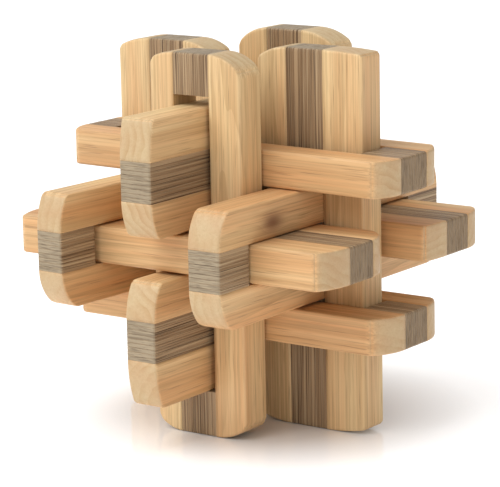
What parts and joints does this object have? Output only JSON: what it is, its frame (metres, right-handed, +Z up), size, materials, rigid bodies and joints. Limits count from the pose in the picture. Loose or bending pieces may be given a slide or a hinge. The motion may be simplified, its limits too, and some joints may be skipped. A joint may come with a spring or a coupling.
{
  "type": "wooden burr puzzle",
  "caption": "Interlocking burr puzzle of flat laminated wooden boards threaded through each other on three axes, with fork-shaped keys that pull out to start taking it apart.",
  "frame": {"origin": "middle of the bounding box's underside, on the surface the puzzle stands on", "axes": "+Z up; +X along the crossbars, to the right; +Y along the runners and keys, to the back, so the keys pull out along -Y"},
  "size_m": [0.077, 0.077, 0.076],
  "materials": {
    "pale_rail": "satin, sanded and lightly waxed",
    "dark_veneer": "satin, sanded, with fine lines along it"
  },
  "bodies": {
    "upright_right": {"upright_right_left_rail": "pale_rail", "upright_right_lower_block": "dark_veneer", "upright_right_right_rail": "pale_rail", "upright_right_upper_block": "dark_veneer"},
    "upright_left": {"upright_left_left_rail": "pale_rail", "upright_left_lower_block": "dark_veneer", "upright_left_right_rail": "pale_rail", "upright_left_upper_block": "dark_veneer"},
    "upright_front": {"upright_front_left_rail": "pale_rail", "upright_front_lower_block": "dark_veneer", "upright_front_middle_block": "dark_veneer", "upright_front_right_rail": "pale_rail", "upright_front_upper_block": "dark_veneer"},
    "upright_back": {"upright_back_left_rail": "pale_rail", "upright_back_lower_block": "dark_veneer", "upright_back_middle_block": "dark_veneer", "upright_back_right_rail": "pale_rail", "upright_back_upper_block": "dark_veneer"},
    "crossbar_front": {"crossbar_front_back_rail": "pale_rail", "crossbar_front_front_rail": "pale_rail", "crossbar_front_left_block": "dark_veneer", "crossbar_front_right_block": "dark_veneer"},
    "crossbar_back": {"crossbar_back_back_rail": "pale_rail", "crossbar_back_front_rail": "pale_rail", "crossbar_back_left_block": "dark_veneer", "crossbar_back_right_block": "dark_veneer"},
    "crossbar_top": {"crossbar_top_back_rail": "pale_rail", "crossbar_top_front_rail": "pale_rail", "crossbar_top_left_block": "dark_veneer", "crossbar_top_middle_block": "dark_veneer", "crossbar_top_right_block": "dark_veneer"},
    "crossbar_bottom": {"crossbar_bottom_back_rail": "pale_rail", "crossbar_bottom_front_rail": "pale_rail", "crossbar_bottom_left_block": "dark_veneer", "crossbar_bottom_middle_block": "dark_veneer", "crossbar_bottom_right_block": "dark_veneer"},
    "runner_left": {"runner_left_back_block": "dark_veneer", "runner_left_front_block": "dark_veneer", "runner_left_lower_rail": "pale_rail", "runner_left_middle_block": "dark_veneer", "runner_left_upper_rail": "pale_rail"},
    "runner_right": {"runner_right_back_block": "dark_veneer", "runner_right_front_block": "dark_veneer", "runner_right_lower_rail": "pale_rail", "runner_right_middle_block": "dark_veneer", "runner_right_upper_rail": "pale_rail"},
    "key_top": {"key_top_front_block": "dark_veneer", "key_top_lower_rail": "pale_rail", "key_top_upper_rail": "pale_rail"},
    "key_bottom": {"key_bottom_front_block": "dark_veneer", "key_bottom_lower_rail": "pale_rail", "key_bottom_upper_rail": "pale_rail"}
  },
  "joints": [
    {"name": "upright_left_play", "type": "slide", "parent": "upright_right", "child": "upright_left", "axis": [0, 0, 1], "range_m": [-0.001, 0]},
    {"name": "upright_front_play", "type": "slide", "parent": "upright_right", "child": "upright_front", "axis": [0, 0, 1], "range_m": [-0.002, 0]},
    {"name": "upright_back_play", "type": "slide", "parent": "upright_right", "child": "upright_back", "axis": [0, 0, 1], "range_m": [-0.0012, 0]},
    {"name": "crossbar_front_play", "type": "slide", "parent": "upright_right", "child": "crossbar_front", "axis": [1, 0, 0], "range_m": [-0.0005, 0.0005]},
    {"name": "crossbar_back_play", "type": "slide", "parent": "upright_right", "child": "crossbar_back", "axis": [1, 0, 0], "range_m": [-0.0005, 0.0005]},
    {"name": "crossbar_top_play", "type": "slide", "parent": "upright_right", "child": "crossbar_top", "axis": [1, 0, -0.0087], "range_m": [-0.0005, 0.0005]},
    {"name": "crossbar_bottom_play", "type": "slide", "parent": "upright_right", "child": "crossbar_bottom", "axis": [1, 0, 0], "range_m": [-0.0005, 0.0005]},
    {"name": "runner_left_play", "type": "slide", "parent": "upright_right", "child": "runner_left", "axis": [0.0523, 0.9986, 0], "range_m": [-0.0012, 0.0012]},
    {"name": "runner_right_play", "type": "slide", "parent": "upright_right", "child": "runner_right", "axis": [0, 1, 0], "range_m": [-0.0005, 0.0005]},
    {"name": "key_top_pull", "type": "slide", "parent": "upright_right", "child": "key_top", "axis": [0, -1, 0], "range_m": [-0.0005, 0.08]},
    {"name": "key_bottom_pull", "type": "slide", "parent": "upright_right", "child": "key_bottom", "axis": [0, -1, 0], "range_m": [-0.0005, 0.08]}
  ]
}
